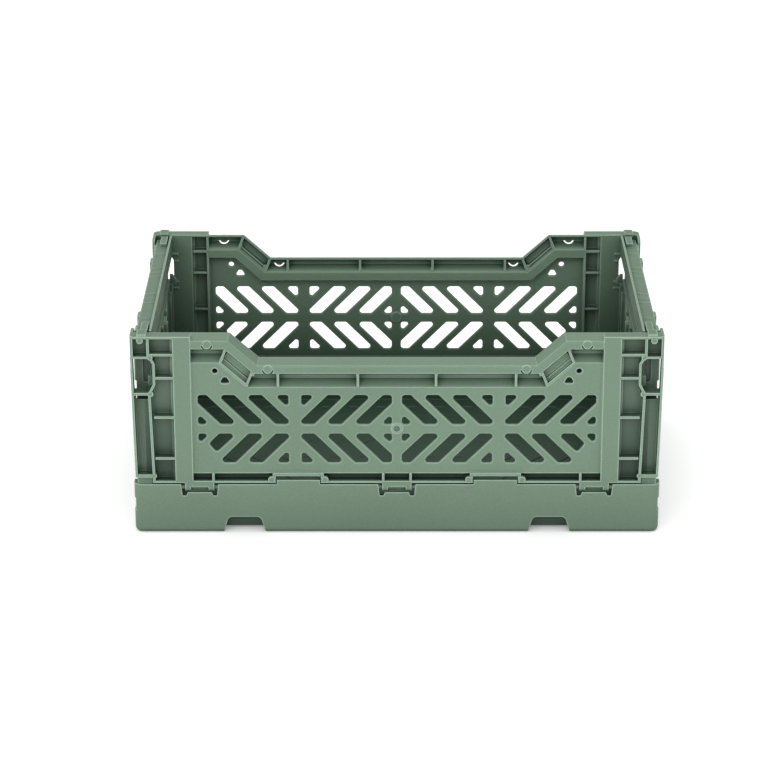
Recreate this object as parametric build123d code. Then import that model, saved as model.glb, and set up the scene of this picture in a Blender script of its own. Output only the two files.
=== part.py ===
from build123d import *
import os

os.makedirs("parts", exist_ok=True)

# A small folding crate in moulded plastic: a base tray, two long walls and two end walls.
# Each wall hinges on pins in the tray. The end walls fold in first, the long walls over them.
# Frame: X along the crate, Y across it, Z up. The origin is on the ground under the middle.
# All sizes are in millimetres.

# Overall size
length = 270.0              # over the hoods at the ends of the long walls
width = 172.0               # over the outer faces of the long walls
wall_top = 107.4            # top of the rim
nub_top = 108.5             # top of the stacking nubs
half_x = length / 2
half_y = width / 2

# Tray
tray_top = 27.0             # top of the tray's long sides
floor_top = 10.0
floor_skin = 2.0
floor_mark = 0.4            # depth of the recesses in the closed floor
skin = 1.8                  # usual wall of the tray
tray_corner = 4.0
tray_bottom_round = 2.6
side_inner = 78.0           # |Y| of the tray's inner faces
rest_ledge = 20.3           # the folded long walls lie on this ledge
sill_x = 124.0              # |X| of the inner faces of the tray's ends
end_skin_x = 133.2          # |X| of the upper part of the tray's ends
post_x = (125.5, 133.0)
post_top = 30.4
key_x = (39.5, 61.5)        # keys on the long sides that stand in the long walls' notches
key_top = 29.4
key_w = 1.6

# Hinges of the long walls
long_axis_y = 83.6
long_axis_z = 25.0
long_hinges = (0.0, 101.2)
long_tab = 15.0
long_notch = 19.4
pin_r = 1.5
bore_r = 1.6
long_barrel_r = 2.4

# Hinges of the end walls
end_axis_x = 129.3
end_axis_z = 15.0
end_hinges = (0.0, 50.0)
end_tab = 15.0
end_notch = 18.0
end_barrel_r = 2.5

# Long wall. Depths are measured inwards from its outer face.
wall_depth = 7.0
back_skin = 5.6             # depth at which the inner skin starts
flange_z = (27.8, 28.9)
panel_z = 33.0
panel_w = (1.0, 2.6)        # depths of the slotted panel's two faces
dip_x = 70.0                # the rim's low part reaches out to here
dip_end_x = 84.6            # and here the slope reaches full height
dip_top = 94.2
panel_x = 104.6
band_x = (104.3, 113.4)
rib_levels = (97.0, 84.5, 63.1, 40.6)
corner_step_z = 30.8        # underside of the long wall over the tray's posts

# Slot pattern of the long walls
row_top = 75.6
row_bottom = 59.7
rows_middle = 57.1
groups_middle = 51.9
slot_round = 1.5
dot_round = 1.2
slot_flare = 0.45

studs = ((96.0, 103.2), (65.4, 90.0))    # X and Z of the round studs on the rim
stud_r = 2.3
stud_gap = 0.75             # width of the crescent gap under each stud
stud_lean = 20.0            # degrees by which that gap rises inwards

# End wall
end_inner_x = 124.5
end_outer_x = 132.7
end_half_y = 77.0
end_bottom = 20.6
end_rim_top = 105.2


def block(x0, x1, y0, y1, z0, z1):
    """A box between these limits."""
    return Pos((x0 + x1) / 2, (y0 + y1) / 2, (z0 + z1) / 2) * Box(x1 - x0, y1 - y0, z1 - z0)


def bar(x0, x1, w0, w1, z0, z1):
    """A box in the front long wall, from depth w0 to depth w1."""
    return block(x0, x1, -half_y + w0, -half_y + w1, z0, z1)


def outline(points, r):
    """A flat face with rounded corners, or sharp ones where r is 0."""
    if r:
        return make_face(FilletPolyline(*points, radius=r, close=True))
    return make_face(Polyline(*points, close=True))


def plate(points, w0, w1, r=0.0):
    """An outline in X and Z, made solid from depth w0 to depth w1 of the front long wall."""
    plane = Plane(origin=(0, -half_y + w1, 0), x_dir=(1, 0, 0), z_dir=(0, -1, 0))
    return extrude(plane * outline(points, r), amount=w1 - w0)


def flare(points, r, w, inward):
    """A 45 degree flare round a slot's outline, which starts at depth w and narrows to the outline."""
    side = 1 if inward else -1
    plane = Plane(origin=(0, -half_y + w, 0), x_dir=(1, 0, 0), z_dir=(0, side, 0))
    face = outline([(x, -side * z) for x, z in points], r)
    return extrude(plane * offset(face, amount=slot_flare), amount=slot_flare, taper=45)


def end_plate(points, x0, x1, r=0.0):
    """An outline in Y and Z, made solid from x0 to x1."""
    plane = Plane(origin=(x0, 0, 0), x_dir=(0, 1, 0), z_dir=(1, 0, 0))
    return extrude(plane * outline(points, r), amount=x1 - x0)


def strip(p, q, t):
    """The four corners of a straight strip of width t from p to q."""
    dx = q[0] - p[0]
    dz = q[1] - p[1]
    run = (dx * dx + dz * dz) ** 0.5
    ox = -dz / run * t / 2
    oz = dx / run * t / 2
    return [(p[0] + ox, p[1] + oz), (q[0] + ox, q[1] + oz), (q[0] - ox, q[1] - oz), (p[0] - ox, p[1] - oz)]


def boss(x, z, r, w0, w1):
    """A round boss across the front long wall, from depth w0 to depth w1."""
    return Pos(x, -half_y + (w0 + w1) / 2, z) * Rot(90, 0, 0) * Cylinder(r, w1 - w0)


def along_x(x0, x1, y, z, r):
    """A cylinder along X."""
    return Pos((x0 + x1) / 2, y, z) * Rot(0, 90, 0) * Cylinder(r, x1 - x0)


def along_y(y0, y1, x, z, r):
    """A cylinder along Y."""
    return Pos(x, (y0 + y1) / 2, z) * Rot(90, 0, 0) * Cylinder(r, y1 - y0)


def along_z(x, y, z0, z1, r):
    """A cylinder along Z."""
    return Pos(x, y, (z0 + z1) / 2) * Cylinder(r, z1 - z0)


def united(first, others):
    """One solid from a first one and a list that is added to it."""
    return first.fuse(*others)


def less(first, others):
    """A solid less a list of cutters."""
    return first.cut(*others)


def rim_line(d):
    """The rim's outline on the right half, a distance d below its top edge."""
    lean = 0.376 * d
    return [
        (0.0, dip_top - d),
        (dip_x + lean, dip_top - d),
        (dip_end_x + lean, wall_top - d),
        (panel_x, wall_top - d),
    ]


def slot_outlines():
    """The slots of the right half as (points, corner radius): two groups in two mirrored rows."""
    z1 = row_top
    z0 = row_bottom
    edge = 101.2
    group = [
        [(55.2, z1), (62.2, z1), (55.2, z1 - 7.0)],
        [(edge, z0), (edge, z0 + 5.7), (edge - 5.7, z0)],
    ]
    for x in (65.2, 79.1, 93.3):
        top = (x + 10.05, z1 - 2.2)
        tip = (x + 10.05, z1)
        if x + 10.05 > edge:
            top = (edge, z0 + edge - (x - 3.55))
            tip = (edge, z1)
        group.append([tip, (x + 3.5, z1), (x - 10.05, z0 + 2.2), (x - 10.05, z0), (x - 3.5, z0), top])
    cut_short = [(90.6, z0), (83.85, z0), (83.85, z0 + 2.2), (92.2, z0 + 10.2), (95.9, z0 + 5.4)]
    found = []
    for lower in (False, True):
        for inner in (False, True):
            for k, points in enumerate(group):
                if lower and not inner and k == 4:
                    points = cut_short
                shape = []
                for x, z in points:
                    px = 2 * groups_middle - x if inner else x
                    pz = 2 * rows_middle - z if lower else z
                    shape.append((px, pz))
                found.append((shape, dot_round if k < 2 else slot_round))
    return found


def long_wall_rim():
    """The folded section of the rim, which follows the dip in the long wall's top edge."""
    section = [
        (6.2, 0), (7, 0), (7, 1.2), (6.2, 1.2), (2.7, 2.8), (1.9, 3.6), (1.8, 5.2), (5.6, 7.4),
        (6.7, 8.3), (7, 9.0), (7, 13.2), (6.5, 13.7), (3, 14.4), (3, 15.2), (1, 15.2), (1, 14.2),
        (5.4, 10.6), (5.4, 9.2), (0.3, 6.6), (0.3, 3.2), (0.6, 2.4), (1.4, 1.9),
    ]
    plane = Plane(origin=(0, -half_y, dip_top), x_dir=(0, 1, 0), z_dir=(1, 0, 0))
    face = plane * outline([(w, -d) for w, d in section], 0)
    path = Polyline(*[(x, -half_y, z) for x, z in rim_line(0)])
    return sweep(face, path=path, transition=Transition.RIGHT)


def slope_prism(section, s0, s1):
    """A section in depth and distance below the rim, along the rim's slope from s0 to s1."""
    rise = wall_top - dip_top
    run = dip_end_x - dip_x
    slant = (run * run + rise * rise) ** 0.5
    along = (run / slant, 0, rise / slant)
    start = (dip_x + along[0] * s0, -half_y, dip_top + along[2] * s0)
    plane = Plane(origin=start, x_dir=(0, 1, 0), z_dir=along)
    return extrude(plane * outline([(w, -d) for w, d in section], 0), amount=s1 - s0)


def long_wall_half():
    """The right half of the front long wall, upright."""
    top = wall_top
    low = flange_z[0]
    d = 14.6
    corner = rim_line(d)
    panel = plate([(0, panel_z), (panel_x, panel_z)] + corner[::-1], *panel_w)
    pocket = [(-1, 9.6), (5.3, 9.6), (5.1, 11.6), (2.4, 13.2), (-1, 13.2)]
    adds = [long_wall_rim() - slope_prism(pocket, -3.2, 14.6)]
    # ribs across the recess outside the rim, upright ones and one at each end of the slope
    for x in (19.8, 60.3):
        adds.append(bar(x - 0.6, x + 0.6, 0.3, 6.0, dip_top - 13.6, dip_top - 6.0))
    adds.append(plate(strip((86.1, 101.8), (89.5, 93.3), 1.2), 0.3, 6.0))
    adds.append(plate(strip((72.9, 89.5), (76.4, 80.8), 1.2), 0.3, 6.0))
    # lip below the pocket in the slope, and the ridge in the channel behind it
    adds.append(slope_prism([(0.2, 13.1), (0.2, 14.1), (1.0, 14.7), (3.0, 14.7), (3.0, 13.1)], -3.9, 14.0))
    adds.append(slope_prism([(2.0, 5.4), (6.0, 6.2), (6.0, 6.8), (2.0, 6.8)], -1.0, 17.0))
    # stepped back of that pocket, and a thicker web in the slope's channel
    stepped = [(3.2, 8.0), (6.0, 8.6), (6.0, 13.4), (2.2, 13.4), (2.2, 11.2), (3.2, 10.8)]
    adds.append(slope_prism(stepped, -3.4, 14.2))
    adds.append(slope_prism([(1.5, 2.8), (3.4, 2.8), (3.4, 6.0), (1.5, 5.4)], -0.5, 17.0))
    # ribs across the rim's channel on the inside
    for x in (20.2, 60.5):
        adds.append(bar(x - 0.6, x + 0.6, 1.2, 6.9, dip_top - 8.2, dip_top - 2.4))
        adds.append(bar(x - 0.6, x + 0.6, 4.6, 6.9, dip_top - 3.0, dip_top - 0.9))
    for x, z in ((dip_end_x, wall_top), (dip_x, dip_top)):
        adds.append(plate(strip((x + 0.9, z - 2.4), (x + 3.0, z - 8.2), 1.2), 1.2, 6.9))
        adds.append(plate(strip((x + 0.3, z - 0.9), (x + 1.1, z - 3.0), 1.2), 4.6, 6.9))
    # upright band, closed outside and open inside, with a web on each side of it
    adds.append(bar(band_x[0], band_x[1], 0.0, 1.6, low, top))
    adds.append(bar(band_x[0], band_x[0] + 1.2, 0.0, 7.0, low, top))
    adds.append(bar(band_x[1] - 1.2, band_x[1], 0.0, 4.0, low, top))
    adds.append(bar(band_x[1] - 1.2, band_x[1] + 1.3, 3.0, 4.2, low, top))
    adds.append(bar(band_x[1] + 0.1, band_x[1] + 1.3, 3.0, 7.0, low, top))
    # inner skin and top flange of the corner cells
    adds.append(bar(band_x[1] + 0.1, 124.0, back_skin, 7.0, low, top))
    adds.append(bar(123.0, 134.0, back_skin, 7.0, 95.7, top))
    adds.append(bar(123.0, 133.9, back_skin, 7.0, corner_step_z, 77.2))
    adds.append(plate([(122.6, 75.0), (126.4, 75.0), (123.4, 80.8), (122.6, 80.8)], back_skin, 7.0))
    adds.append(plate([(122.6, 97.5), (126.4, 97.5), (123.4, 91.4), (122.6, 91.4)], back_skin, 7.0))
    adds.append(bar(band_x[0], half_x, 0.0, 7.0, top - 1.1, top))
    # cross ribs: open outside next to the band, open inside within it
    for z in rib_levels:
        adds.append(bar(band_x[1] - 0.4, 125.4 if z > 90 else 123.4, 0.2, 6.2, z, z + 1.25))
        adds.append(bar(band_x[0] + 0.4, band_x[1] - 0.4, 1.0, 6.8, z, z + 1.25))
    # web between the two columns of cells, stepping round the latch window
    adds.append(bar(125.1, 126.4, 0.0, 7.0, 95.7, top))
    adds.append(plate(strip((124.3, low), (125.6, 77.0), 1.3), 0.0, 7.0))
    window = [(125.3, 96.8), (123.0, 92.8), (123.0, 81.8), (125.3, 77.0)]
    for p, q in zip(window, window[1:]):
        adds.append(plate(strip(p, q, 1.2), 0.0, 7.0))
    for x, z in ((124.8, 96.3), (124.9, 76.6)):
        adds.append(boss(x, z, 1.4, -0.2, 7.0))
    for x, z in window[1:3]:
        adds.append(boss(x, z, 0.6, 0.0, 7.0))
    # cross ribs and outer skin of the end column
    adds.append(bar(125.4, half_x, 0.0, 7.0, 95.7, 96.8))
    adds.append(bar(124.6, 134.4, 0.0, 7.0, 75.9, 77.2))
    adds.append(bar(123.0, 133.9, 0.0, 7.0, corner_step_z, 32.4))
    adds.append(plate(strip((133.3, corner_step_z), (134.4, 96.0), 1.2), 0.0, 7.0))
    adds.append(bar(133.4, half_x, 0.0, 7.0, 95.7, top))
    adds.append(boss(129.7, 105.3, 1.65, 0.2, 6.0))
    # hood round the outside of the end wall, its end rounded
    hood = end_plate([(-79.5, 95.7), (-71.0, 95.7), (-71.0, top), (-79.5, top)], 133.5, half_x)
    adds.append(fillet(hood.edges().filter_by(Axis.X).sort_by(Axis.Y)[-2:], 1.6))
    # stacking nub on the corner
    adds.append(block(126.5, 131.3, -half_y + 0.6, -77.6, top - 0.8, nub_top))
    # little ledges beside the window on the inner face, and the catch for the end wall
    for z in (96.4, 92.4, 80.3, 76.6):
        adds.append(bar(121.4, 126.6 if z > 96 or z < 77 else 123.5, 6.6, 7.7, z - 0.5, z + 0.5))
    adds.append(plate([(122.9, 79.0), (126.4, 79.0), (126.4, 84.4), (125.0, 84.4), (122.9, 81.8)], 5.8, 7.8))
    # bottom flange with the shallow channel above it
    adds.append(bar(0, 124.3, 0.0, 7.0, low, flange_z[1]))
    adds.append(bar(0, panel_x, back_skin, 7.0, low, 34.2))
    adds.append(bar(0, panel_x, 1.0, 7.0, 32.8, 34.2))
    for x in (7.0, 94.0):
        adds.append(bar(x - 0.6, x + 0.6, 0.2, 6.0, 28.4, 33.2))
    adds.append(bar(37.4, 63.6, 0.0, 7.0, low, 33.2))
    for x in (36.8, 64.2):
        adds.append(boss(x, 29.7, 1.75, -0.4, 6.0))
    # hinge tabs: a neck down to a barrel round the pin
    for x in long_hinges:
        x0 = max(x - long_tab / 2, 0.0)
        x1 = x + long_tab / 2
        adds.append(bar(x0, x1, 0.0, 4.8, long_axis_z, 28.3))
        adds.append(along_x(x0, x1, -long_axis_y, long_axis_z, long_barrel_r))
    # ring boss in the middle of the pattern
    adds.append(boss(0, 57.6, 3.0, 0.4, 3.4) & block(0, 5, -90, -70, 50, 65))
    # round studs on the rim
    for x, z in studs:
        adds.append(boss(x, z, stud_r, 0.1, 1.8))
    half = united(panel, adds)
    cuts = []
    for points, r in slot_outlines():
        cuts.append(plate(points, -1.0, 4.0, r))
        cuts.append(flare(points, r, panel_w[0] - 0.01, True))
        cuts.append(flare(points, r, panel_w[1] + 0.01, False))
    # two small holes beside the slope
    cuts.append(boss(92.2, 88.8, 1.45, -1.0, 4.5))
    cuts.append(plate([(84.2, 82.0), (90.2, 82.0), (88.1, 85.5), (86.3, 85.5)], -1.0, 4.5, 1.0))
    # crescent gap under each stud
    for x, z in studs:
        ring = Cylinder(stud_r + stud_gap, 12) - Cylinder(stud_r, 13)
        gap = Pos(x, -half_y + 0.3, z) * Rot(90 + stud_lean, 0, 0) * ring
        lower = plate([(x - 4, z - 6), (x + 4, z - 6), (x + 4, z - 0.6), (x - 4, z - 0.6)], -1.0, 1.9)
        upper = plate([(x - 4, z - 6), (x + 4, z - 6), (x + 4, z + 0.3), (x - 4, z + 0.3)], 1.9, 4.9)
        cuts.append(gap & lower)
        cuts.append(gap & upper)
    # notch that stands over the tray's key
    cuts.append(bar(38.9, 62.1, -1.0, 8.0, 27.0, 31.6))
    # opening at the head of the long end cell
    cuts.append(bar(126.4, 132.8, 5.0, 8.0, 71.8, 75.8))
    # hollow of the ring boss
    cuts.append(boss(0, 57.6, 1.7, -1.0, 1.4))
    for x in long_hinges:
        cuts.append(along_x(x - 9, x + 9, -long_axis_y, long_axis_z, bore_r))
        cuts.append(bar(x - 4.5, x + 4.5, -0.5, 1.4, 23.5, 25.7))
    # rounded outer corner of the hood
    sharp = block(132.0, 136.0, -half_y - 1, -half_y + 3.0, 90.0, 110.0)
    cuts.append(sharp - Pos(132.0, -half_y + 3.0, 100) * Cylinder(3.0, 30))
    return less(half, cuts)


def end_slots():
    """Slot outlines of the half of an end wall, in Y and Z: the same slanted slots, closer together."""
    found = []
    for lower in (False, True):
        for k in range(4):
            y = 10.4 + 14.3 * k
            points = [
                (y + 10.4, row_top), (y + 3.5, row_top), (y - 9.7, row_bottom + 2.2),
                (y - 9.7, row_bottom), (y - 2.8, row_bottom), (y + 10.4, row_top - 2.2),
            ]
            if lower:
                points = [(py, 2 * rows_middle - pz) for py, pz in points]
            found.append(points)
    return found


def end_wall_half():
    """The half of the right end wall with Y above 0, upright."""
    x0 = end_inner_x
    x1 = end_outer_x
    y1 = end_half_y
    panel = block(127.0, 129.0, 0, y1 - 1.0, end_bottom, end_rim_top)
    adds = [
        # rim: a gutter between a high inner lip and a lower outer edge
        block(x0, x0 + 1.1, 0, y1, 96.6, wall_top),
        block(x0, x1, 0, y1, end_rim_top - 1.3, end_rim_top),
        block(x1 - 1.1, x1, 0, y1, 96.6, end_rim_top),
        block(x0, x1, 0, y1, 96.6, 97.8),
        # bottom flange and upright edge
        block(x0, x1, 0, y1, end_bottom, end_bottom + 1.4),
        block(x0, x1, y1 - 1.5, y1, end_bottom, end_rim_top),
        # stacking pad
        block(126.5, 130.2, 63.5, 76.0, end_rim_top - 0.4, wall_top + 0.1),
        # lug and shoulder outside the rim
        block(x1 - 0.5, 134.0, 40.0, 47.0, 100.0, 104.8),
        block(x1 - 0.5, 133.6, 61.0, 69.4, 96.6, 104.8),
        # rounded bar that shows in the long wall's latch window
        block(129.6, 133.2, y1 - 1.6, y1, 80.6, 95.2),
        along_z(130.5, y1 - 1.4, 80.6, 95.2, 1.4),
        along_z(132.3, y1 - 1.4, 80.6, 95.2, 1.4),
        # band above the slots
        block(125.9, 128.0, 0, y1 - 1.0, 79.5, 83.0),
    ]
    for y in (14.0, 21.0, 28.0, 52.0):
        adds.append(block(x0 + 0.5, x1 - 0.3, y - 0.45, y + 0.45, end_rim_top - 0.5, end_rim_top + 0.35))
    # ribs outside and inside the panel
    for y in (23.0, 48.0, 66.0):
        adds.append(block(128.5, x1 - 0.4, y - 0.6, y + 0.6, 82.0, 97.0))
        adds.append(block(128.5, x1 - 0.4, y - 0.6, y + 0.6, end_bottom, 36.0))
    for y in (8.0, 34.0, 66.0):
        adds.append(block(x0 + 0.2, 127.5, y - 0.6, y + 0.6, end_bottom, 78.5))
    adds.append(block(128.5, x1 - 0.4, 0, y1 - 1.0, 34.6, 35.9))
    adds.append(block(128.5, x1 - 0.4, 0, y1 - 1.0, 80.0, 81.3))
    for y in end_hinges:
        y0 = max(y - end_tab / 2, 0.0)
        y2 = y + end_tab / 2
        adds.append(block(end_axis_x - 2.3, end_axis_x + 2.3, y0, y2, end_axis_z, end_bottom + 0.6))
        adds.append(along_y(y0, y2, end_axis_x, end_axis_z, end_barrel_r))
    half = united(panel, adds)
    cuts = [end_plate(points, 120.0, 130.0, slot_round) for points in end_slots()]
    # opening in the upright edge, which leaves a rounded bar beside the latch window
    cuts.append(block(x0 - 1, 129.1, y1 - 2.0, y1 + 1, 80.0, 95.4))
    for y in end_hinges:
        cuts.append(along_y(y - 9, y + 9, end_axis_x, end_axis_z, bore_r))
    return less(half, cuts)


def floor_marks():
    """Slanted recesses in a quarter of the floor, as outlines in X and Y."""
    found = []
    for row in range(3):
        y = -14.0 - 23.0 * row
        for k in range(7):
            x = 13.0 + 15.6 * k
            found.append([(x + 7.5, y + 7), (x + 2.5, y + 7), (x - 7.5, y - 5), (x - 7.5, y - 7),
                          (x - 2.5, y - 7), (x + 7.5, y + 5)])
    return found


def tray_quarter():
    """The quarter of the tray with X above 0 and Y below 0."""
    y0 = -half_y
    ledge = rest_ledge
    inner_top = -(long_axis_y - 2.7)
    floor = block(0, sill_x + 1.0, -side_inner - 1.0, 0, floor_top - floor_skin, floor_top)
    adds = [
        # long side: outer skin, cap, upper inner skin, ledge and lower inner skin
        block(0, half_x, y0, y0 + skin, 0, tray_top),
        block(0, half_x, y0, inner_top, tray_top - skin, tray_top),
        block(0, half_x - 1, inner_top - 1.7, inner_top, ledge - 1.6, tray_top),
        block(0, half_x - 1, inner_top - 1.7, -side_inner, ledge - 1.6, ledge),
        block(0, half_x - 1, -side_inner - 1.6, -side_inner, 1.4, ledge),
        # flanges that the tray stands on
        block(0, half_x, y0, y0 + 4.6, 0, 2.0),
        block(130.4, half_x, y0, 0, 0, 2.0),
        # end: skirt, step, upper skin and rounded sill
        block(end_skin_x, half_x, y0, 0, 0, 11.8),
        block(end_skin_x - skin, half_x, y0, 0, 10.0, 11.8),
        block(end_skin_x - skin, end_skin_x, -side_inner - 1, 0, 10.0, ledge),
        block(end_axis_x, end_skin_x, -side_inner - 1, 0, end_axis_z, ledge),
        block(sill_x, end_skin_x - 0.5, -side_inner - 1, 0, floor_top - floor_skin, end_axis_z),
        along_y(-side_inner - 1, 0, end_axis_x, end_axis_z, 5.3) & block(120, 132.5, -90, 5, 9, 22),
        # corner of the tray above the sill, and the post on it
        block(sill_x, half_x, y0, -side_inner, ledge - 1.6, tray_top),
        block(post_x[0], post_x[1], y0 + 1.5, -side_inner, 14.0, post_top),
        # key that stands in the long wall's notch
        block(key_x[0], key_x[1], y0, y0 + key_w, 20.0, key_top),
    ]
    # side of the channel at the corner, and webs that stiffen it
    for x in (20.0, 50.4, 64.6, 92.2, 114.0):
        adds.append(block(x - 0.7, x + 0.7, y0 + 0.5, inner_top - 0.5, 9.6, tray_top - 1))
        adds.append(block(x - 0.7, x + 0.7, inner_top - 1.0, -side_inner - 0.5, 9.6, ledge - 0.5))
    # solid cheeks that hold the pins
    for x in long_hinges:
        for side in (-1, 1):
            near = x + side * long_notch / 2
            far = near + side * 2.6
            if far > 0:
                adds.append(block(min(near, far), max(near, far), y0 + 0.5, inner_top, 19.0, tray_top))
    # ribs under the floor
    for y in (-26.0, -52.0):
        adds.append(block(0, sill_x + 2, y - 0.8, y + 0.8, 2.5, 8.5))
    for x in (31.0, 62.0, 93.0):
        adds.append(block(x - 0.8, x + 0.8, -side_inner - 0.5, 0, 2.5, 8.5))
    adds.append(block(sill_x, sill_x + 1.6, -side_inner - 0.5, 0, 1.4, 9.0))
    quarter = united(floor, adds)
    cuts = []
    for points in floor_marks():
        face = Pos(0, 0, floor_top - floor_mark) * outline(points, 1.2)
        cuts.append(extrude(face, amount=1))
    # the long wall's underside turns past the tops of the post and the tray's corner
    turn = block(post_x[0] - 1, half_x + 1, -long_axis_y, -side_inner + 3, long_axis_z, 32.0)
    turn = turn - along_x(120, 140, -long_axis_y, long_axis_z, 5.6)
    cuts.append(turn)
    turn = block(-1, post_x[0], -long_axis_y, -side_inner + 3, long_axis_z, 32.0)
    turn = turn - along_x(-2, 126, -long_axis_y, long_axis_z, 2.7)
    cuts.append(turn)
    # gap between the post and the foot of the long wall's web
    cuts.append(block(sill_x - 1, post_x[0], y0 + skin, -side_inner + 1, ledge, 32.0))
    # notches and hollows for the long walls' hinges, each with a raised tongue in front of its barrel
    for x in long_hinges:
        half_top = long_notch / 2
        shape = [
            (x - half_top, 28.0), (x - half_top + 0.9, 20.7), (x - 6.9, 20.7), (x - 6.1, 22.6),
            (x + 6.1, 22.6), (x + 6.9, 20.7), (x + half_top - 0.9, 20.7), (x + half_top, 28.0),
        ]
        cuts.append(plate(shape, -1.0, 1.1))
        cuts.append(bar(x - half_top + 0.9, x + half_top - 0.9, 1.0, 5.6, ledge, 28.0))
        cuts.append(plate([shape[0], shape[1], shape[6], shape[7]], 1.0, 5.6))
    # notch over each foot
    feet = [(65.9, -6.0), (70.1, 8.9), (86.7, 8.9), (90.9, -6.0)]
    cuts.append(plate(feet, -1.0, 5.0, 2.8))
    # notches for the end walls' hinges
    for y in end_hinges:
        cuts.append(block(sill_x - 1.5, end_axis_x + 2.9, -y - end_notch / 2, -y + end_notch / 2, 11.9, 22.0))
    # relief in the sill for the folded long wall's catch
    cuts.append(block(sill_x - 1, 129.0, -31.5, -23.5, 19.2, 22.0))
    # hollows under the sill, between the notches
    for low, high in ((-76.0, -62.0), (-38.0, -12.0)):
        cuts.append(block(sill_x + 1.7, end_skin_x - skin - 0.2, low, high, 0, 17.5))
    cuts.append(block(sill_x + 1.7, end_skin_x - 0.1, -76.0, 0.0, 2.0, 9.9))
    quarter = less(quarter, cuts)
    pins = []
    for x in long_hinges:
        reach = long_notch / 2 + 1.5
        pins.append(along_x(max(x - reach, 0.0), x + reach, -long_axis_y, long_axis_z, pin_r))
    for y in end_hinges:
        reach = end_notch / 2 + 1.5
        pins.append(along_y(-y - reach, min(-y + reach, 0.0), end_axis_x, end_axis_z, pin_r))
    return united(quarter, pins)


def one_solid(shape):
    """The only solid of a shape."""
    found = shape.solids()
    if len(found) != 1:
        print("pieces:", len(found), [round(s.volume, 2) for s in found])
    return found[0] if len(found) == 1 else shape


# Tray: four quarters inside a rounded envelope
quarter = tray_quarter()
half_tray = quarter + mirror(quarter, Plane.YZ)
tray = half_tray + mirror(half_tray, Plane.XZ)
envelope = extrude(RectangleRounded(length, width, tray_corner), amount=40)
envelope = fillet(envelope.faces().sort_by(Axis.Z)[0].edges(), tray_bottom_round)
tray = one_solid(tray & envelope)

# Long walls: the back one is the front one turned round
half_wall = long_wall_half()
front = one_solid(half_wall + mirror(half_wall, Plane.YZ))
back = Rot(0, 0, 180) * front

# End walls: the left one is the right one turned round
half_end = end_wall_half()
right = one_solid(half_end + mirror(half_end, Plane.XZ))
left = Rot(0, 0, 180) * right

export_step(tray, "parts/base_tray.step")
export_step(front, "parts/front_wall.step")
export_step(back, "parts/back_wall.step")
export_step(left, "parts/left_wall.step")
export_step(right, "parts/right_wall.step")
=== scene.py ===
import math

import bpy
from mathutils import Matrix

# The folding crate: moulded plastic over the CAD pieces, a pale floor and soft studio light.
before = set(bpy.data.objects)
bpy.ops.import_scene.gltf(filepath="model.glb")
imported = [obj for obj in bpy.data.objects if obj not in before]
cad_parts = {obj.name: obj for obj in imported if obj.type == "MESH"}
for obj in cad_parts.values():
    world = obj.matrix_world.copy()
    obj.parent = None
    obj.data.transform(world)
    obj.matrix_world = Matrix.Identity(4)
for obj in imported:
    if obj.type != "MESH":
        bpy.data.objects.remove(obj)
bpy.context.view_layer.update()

# Camera, in metres and degrees
CAMERA_AT = (-0.00353, -1.4902, 0.6209)
CAMERA_DOWN = 21.106
CAMERA_LENS = 137.1

# Plastic colours, linear: the plain one, a painted shade for hollows, crevices and the inside, the
# speckles, and a painted highlight on edges
SAGE = (0.124, 0.193, 0.131)
SAGE_PAINTED_SHADE = (0.016, 0.041, 0.024)
SAGE_PALE = (0.235, 0.325, 0.245)
SAGE_PAINTED_HIGHLIGHT = (0.340, 0.470, 0.365)

# Plastic, in metres
EDGE_SOFT = 0.00055             # rounding of the shading over a moulded corner
EDGE_HIGHLIGHT_REACH = 0.0012              # reach of the painted highlight on edges
# reach of the painted shade in hollows
HOLLOW_SHADE_REACH = 0.07
# reach of the painted shade in crevices
CREVICE_SHADE_REACH = 0.006
INSIDE_X = 0.1285               # the crate's inside ends here
INSIDE_Y = 0.0842
INSIDE_SHADE_TOP = 0.088              # the painted shade inside the crate starts here
INSIDE_SHADE_LOW = 0.028              # and the painted shade is darkest from here down
WAVE_HEIGHT = 0.0006
GRAIN_HEIGHT = 0.00006

# Floor and light
FLOOR_SIZE = 12.0
FLOOR_GLOW = 0.18
WORLD_LIGHT = 0.5


def node(tree, kind, **values):
    """A shader node, with its plain settings."""
    made = tree.nodes.new(kind)
    for key, value in values.items():
        setattr(made, key, value)
    return made


def mixed(tree, factor, a, b):
    """A colour mix: factor is a socket, a and b are sockets or colours."""
    mix = node(tree, "ShaderNodeMix", data_type="RGBA")
    tree.links.new(factor, mix.inputs["Factor"])
    for socket, value in ((mix.inputs["A"], a), (mix.inputs["B"], b)):
        if isinstance(value, tuple):
            socket.default_value = (*value, 1.0)
        else:
            tree.links.new(value, socket)
    return mix.outputs["Result"]


def ranged(tree, socket, from_low, from_high, to_low, to_high):
    """A number moved from one range to another."""
    made = node(tree, "ShaderNodeMapRange")
    tree.links.new(socket, made.inputs["Value"])
    made.inputs["From Min"].default_value = from_low
    made.inputs["From Max"].default_value = from_high
    made.inputs["To Min"].default_value = to_low
    made.inputs["To Max"].default_value = to_high
    return made.outputs["Result"]


def noise(tree, coords, scale, detail):
    """A noise pattern on the object's own coordinates."""
    made = node(tree, "ShaderNodeTexNoise")
    made.inputs["Scale"].default_value = scale
    made.inputs["Detail"].default_value = detail
    tree.links.new(coords, made.inputs["Vector"])
    return made.outputs["Fac"]


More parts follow.
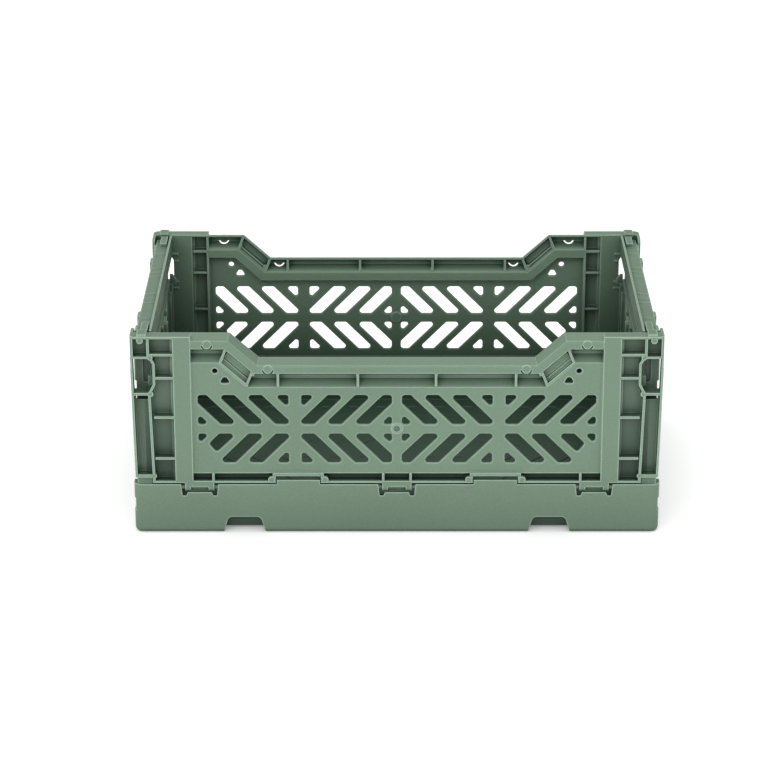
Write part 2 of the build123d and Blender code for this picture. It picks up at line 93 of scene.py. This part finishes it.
def inside_shade_depth(tree, coords):
    """How deep a point lies in the crate, as the mask of the painted shade there: 0 outside or at
    the rim, up to 1 on the floor.
    """
    split = node(tree, "ShaderNodeSeparateXYZ")
    tree.links.new(coords, split.inputs[0])
    masks = []
    for axis, limit in (("X", INSIDE_X), ("Y", INSIDE_Y)):
        size = node(tree, "ShaderNodeMath", operation="ABSOLUTE")
        tree.links.new(split.outputs[axis], size.inputs[0])
        mask = node(tree, "ShaderNodeMath", operation="LESS_THAN")
        mask.inputs[1].default_value = limit
        tree.links.new(size.outputs[0], mask.inputs[0])
        masks.append(mask.outputs[0])
    both = node(tree, "ShaderNodeMath", operation="MULTIPLY")
    tree.links.new(masks[0], both.inputs[0])
    tree.links.new(masks[1], both.inputs[1])
    depth = ranged(tree, split.outputs["Z"], INSIDE_SHADE_TOP, INSIDE_SHADE_LOW, 0.0, 1.0)
    made = node(tree, "ShaderNodeMath", operation="MULTIPLY")
    tree.links.new(both.outputs[0], made.inputs[0])
    tree.links.new(depth, made.inputs[1])
    return made.outputs[0]


def plastic(name, shift):
    """Matte moulded plastic: fine grain, faint waves, a painted highlight on edges, and painted
    shade in hollows, crevices and the crate's interior.
    """
    made = bpy.data.materials.new(name)
    made.use_nodes = True
    tree = made.node_tree
    tree.nodes.clear()
    out = node(tree, "ShaderNodeOutputMaterial")
    shader = node(tree, "ShaderNodeBsdfPrincipled")
    tree.links.new(shader.outputs["BSDF"], out.inputs["Surface"])
    place = node(tree, "ShaderNodeTexCoord")
    moved = node(tree, "ShaderNodeMapping")
    moved.inputs["Location"].default_value = (shift, shift * 0.7, shift * 0.3)
    tree.links.new(place.outputs["Object"], moved.inputs["Vector"])
    coords = moved.outputs["Vector"]

    # moulded edges: the normal turns smoothly over each corner
    soft = node(tree, "ShaderNodeBevel", samples=8)
    soft.inputs["Radius"].default_value = EDGE_SOFT
    shape = node(tree, "ShaderNodeNewGeometry")

    # colour: slow drift, fine speckle, a painted highlight on edges, then painted shade in hollows,
    # inside and crevices
    drift = ranged(tree, noise(tree, coords, 14.0, 3.0), 0.3, 0.7, 0.0, 1.0)
    speckle = ranged(tree, noise(tree, coords, 1400.0, 2.0), 0.35, 0.65, 0.0, 0.14)
    base = mixed(tree, drift, tuple(c * 0.955 for c in SAGE), tuple(c * 1.045 for c in SAGE))
    base = mixed(tree, speckle, base, SAGE_PALE)
    # painted highlight: edges turn paler where the wide bevel normal leaves the face
    edge_highlight_bevel = node(tree, "ShaderNodeBevel", samples=8)
    edge_highlight_bevel.inputs["Radius"].default_value = EDGE_HIGHLIGHT_REACH
    facing = node(tree, "ShaderNodeVectorMath", operation="DOT_PRODUCT")
    tree.links.new(edge_highlight_bevel.outputs["Normal"], facing.inputs[0])
    tree.links.new(shape.outputs["Normal"], facing.inputs[1])
    edge_highlight = ranged(tree, facing.outputs["Value"], 0.99, 0.88, 0.0, 1.0)
    base = mixed(tree, edge_highlight, base, SAGE_PAINTED_HIGHLIGHT)
    # painted shade: darker in hollows, where ambient occlusion finds nearby surfaces
    hollow_shade = node(tree, "ShaderNodeAmbientOcclusion", samples=12)
    hollow_shade.inputs["Distance"].default_value = HOLLOW_SHADE_REACH
    shade = ranged(tree, hollow_shade.outputs["AO"], 0.12, 0.80, 0.88, 0.0)
    base = mixed(tree, shade, base, SAGE_PAINTED_SHADE)
    # painted shade: the crate's inside grows darker towards the floor
    shade = ranged(tree, inside_shade_depth(tree, place.outputs["Object"]), 0.0, 1.0, 0.0, 0.90)
    base = mixed(tree, shade, base, SAGE_PAINTED_SHADE)
    # painted shade: darker in narrow crevices and under overhangs
    crevice_shade = node(tree, "ShaderNodeAmbientOcclusion", samples=8)
    crevice_shade.inputs["Distance"].default_value = CREVICE_SHADE_REACH
    shade = ranged(tree, crevice_shade.outputs["AO"], 0.10, 0.50, 0.70, 0.0)
    base = mixed(tree, shade, base, SAGE_PAINTED_SHADE)
    tree.links.new(base, shader.inputs["Base Color"])

    # gloss: satin, a little uneven
    gloss = ranged(tree, noise(tree, coords, 60.0, 4.0), 0.3, 0.7, 0.40, 0.50)
    tree.links.new(gloss, shader.inputs["Roughness"])
    shader.inputs["IOR"].default_value = 1.49
    shader.inputs["Specular IOR Level"].default_value = 0.42

    # relief: mould grain over faint waves
    waves = node(tree, "ShaderNodeBump")
    waves.inputs["Strength"].default_value = 0.25
    waves.inputs["Distance"].default_value = WAVE_HEIGHT
    tree.links.new(noise(tree, coords, 30.0, 2.0), waves.inputs["Height"])
    tree.links.new(soft.outputs["Normal"], waves.inputs["Normal"])
    grain = node(tree, "ShaderNodeBump")
    grain.inputs["Strength"].default_value = 0.22
    grain.inputs["Distance"].default_value = GRAIN_HEIGHT
    tree.links.new(noise(tree, coords, 2400.0, 3.0), grain.inputs["Height"])
    tree.links.new(waves.outputs["Normal"], grain.inputs["Normal"])
    tree.links.new(grain.outputs["Normal"], shader.inputs["Normal"])
    return made


for number, (name, piece) in enumerate(sorted(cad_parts.items())):
    piece.data.materials.clear()
    piece.data.materials.append(plastic("plastic_" + name, 0.31 * number))

# Floor
bpy.ops.mesh.primitive_plane_add(size=FLOOR_SIZE, location=(0, 2.0, 0))
floor = bpy.context.object
floor.name = "floor"
pale = bpy.data.materials.new("floor")
pale.use_nodes = True
shader = pale.node_tree.nodes["Principled BSDF"]
shader.inputs["Base Color"].default_value = (0.98, 0.98, 0.98, 1.0)
shader.inputs["Roughness"].default_value = 0.9
shader.inputs["Emission Color"].default_value = (1.0, 1.0, 1.0, 1.0)
shader.inputs["Emission Strength"].default_value = FLOOR_GLOW
floor.data.materials.append(pale)

# Light
world = bpy.data.worlds.new("studio")
bpy.context.scene.world = world
world.use_nodes = True
sky = world.node_tree.nodes["Background"]
sky.inputs["Color"].default_value = (1.0, 1.0, 1.0, 1.0)
sky.inputs["Strength"].default_value = WORLD_LIGHT


def soft_sun(name, tilt, turn, strength, spread):
    """A distant lamp with soft shadows: tilt from straight down, turn about Z, in degrees."""
    data = bpy.data.lights.new(name, "SUN")
    data.energy = strength
    data.angle = math.radians(spread)
    lamp = bpy.data.objects.new(name, data)
    bpy.context.collection.objects.link(lamp)
    lamp.rotation_euler = (math.radians(tilt), 0, math.radians(turn))


soft_sun("top", 12, -20, 1.75, 110)
soft_sun("front", 64, -12, 1.0, 60)

# Camera
data = bpy.data.cameras.new("camera")
data.lens = CAMERA_LENS
data.sensor_width = 36.0
camera = bpy.data.objects.new("camera", data)
bpy.context.collection.objects.link(camera)
camera.location = CAMERA_AT
camera.rotation_euler = (math.radians(90 - CAMERA_DOWN), 0, 0)
bpy.context.scene.camera = camera
bpy.context.scene.view_settings.view_transform = "Standard"
